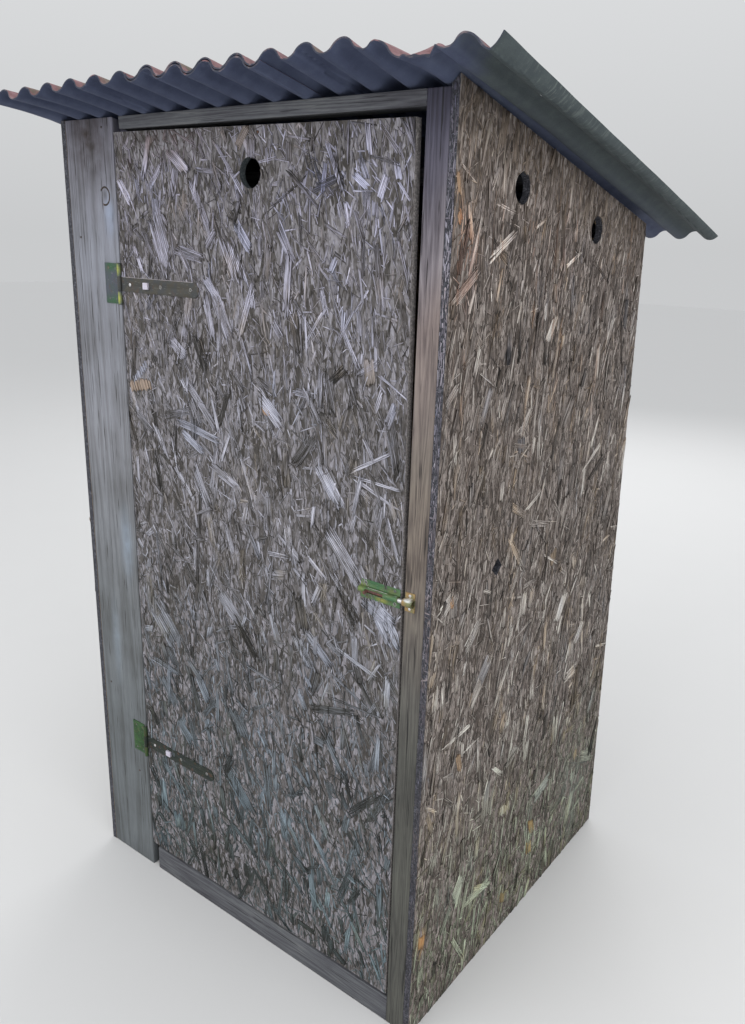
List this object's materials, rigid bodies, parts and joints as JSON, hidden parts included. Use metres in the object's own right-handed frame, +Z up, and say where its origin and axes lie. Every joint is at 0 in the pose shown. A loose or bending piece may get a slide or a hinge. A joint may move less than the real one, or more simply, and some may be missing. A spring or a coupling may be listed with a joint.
{
  "type": "wooden outhouse",
  "caption": "Small outhouse of weathered chipboard sheets on a timber frame, with a strap-hinged door, a sliding bolt, vent holes and a lean-to corrugated roof.",
  "frame": {"origin": "on the ground under the middle of the floor, on the underside of the middle joist", "axes": "+X to the right as one faces the door, +Y from the front to the back, +Z up"},
  "size_m": [1.4897, 1.4129, 2.3455],
  "materials": {
    "chipboard_door": "weathered grey strand board",
    "chipboard_side": "weathered brown-grey strand board",
    "frame_timber": "weathered sawn softwood",
    "grey_board": "weathered grey plank",
    "floor_board": "worn softwood boards",
    "roof_sheet": "matt bitumen fibre sheet, red above and dark below",
    "zinc_steel": "dull yellow-green zinc plate",
    "bolt_steel": "bare rolled steel with rust"
  },
  "bodies": {
    "cabin": {"base_back": "frame_timber", "base_left": "frame_timber", "base_right": "frame_timber", "floor_board_1": "floor_board", "floor_board_2": "floor_board", "floor_board_3": "floor_board", "floor_board_4": "floor_board", "floor_board_5": "floor_board", "floor_board_6": "floor_board", "girt_back": "frame_timber", "girt_left": "frame_timber", "girt_right": "frame_timber", "hinge_board": "grey_board", "joist_middle": "frame_timber", "latch_keeper": "zinc_steel", "lower_hinge_leaf": "zinc_steel", "lower_hinge_pin": "zinc_steel", "post_back_left": "frame_timber", "post_back_right": "frame_timber", "post_front_left": "frame_timber", "post_hinge": "frame_timber", "post_latch": "frame_timber", "purlin_middle": "frame_timber", "rail_back": "frame_timber", "rail_front": "frame_timber", "rail_left": "frame_timber", "rail_right": "frame_timber", "roof_sheet_left": "roof_sheet", "roof_sheet_right": "roof_sheet", "sill_front": "frame_timber", "upper_hinge_leaf": "zinc_steel", "upper_hinge_pin": "zinc_steel", "wall_back": "chipboard_side", "wall_left": "chipboard_side", "wall_right": "chipboard_side"},
    "door": {"door_panel": "chipboard_door", "upper_hinge_strap": "zinc_steel", "lower_hinge_strap": "zinc_steel", "latch_plate": "zinc_steel"},
    "bolt": {"latch_bolt": "bolt_steel"}
  },
  "joints": [
    {"name": "door_swing", "type": "hinge", "parent": "cabin", "child": "door", "pos_m": [-0.4055, -0.58355, 1], "axis": [0, 0, -1], "range_deg": [0, 110]},
    {"name": "bolt_slide", "type": "slide", "parent": "door", "child": "bolt", "axis": [1, 0, 0], "range_m": [0, 0.04]}
  ]
}
